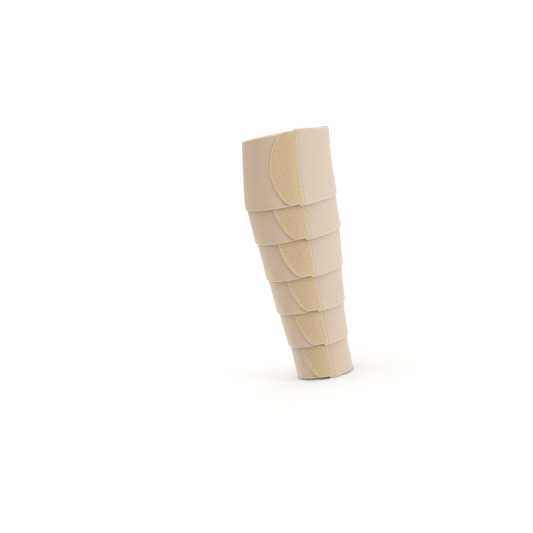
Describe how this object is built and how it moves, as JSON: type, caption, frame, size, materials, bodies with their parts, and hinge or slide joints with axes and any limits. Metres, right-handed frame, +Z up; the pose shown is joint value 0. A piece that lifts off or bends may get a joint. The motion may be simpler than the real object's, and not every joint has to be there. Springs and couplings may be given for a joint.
{
  "type": "leg compression wrap",
  "caption": "Below-knee compression wrap of overlapping beige cloth bands, each closed on the outer side of the leg by a golden D-shaped hook tab.",
  "frame": {"origin": "middle of the ankle opening, at the lower rim of the lowest band", "axes": "+Z up along the leg towards the knee, +X towards the shin, -X towards the calf, -Y towards the closure on the outer side of the leg"},
  "size_m": [0.1277, 0.1161, 0.3369],
  "materials": {
    "band_cloth": "matt brushed loop cloth",
    "hook_tape": "matt golden hook tape"
  },
  "bodies": {
    "root": {"band_1": "band_cloth", "hook_tab_1": "hook_tape", "band_2": "band_cloth", "hook_tab_2": "hook_tape", "band_3": "band_cloth", "hook_tab_3": "hook_tape", "band_4": "band_cloth", "hook_tab_4": "hook_tape", "band_5": "band_cloth", "hook_tab_5": "hook_tape", "band_6": "band_cloth", "hook_tab_6": "hook_tape"}
  },
  "joints": []
}
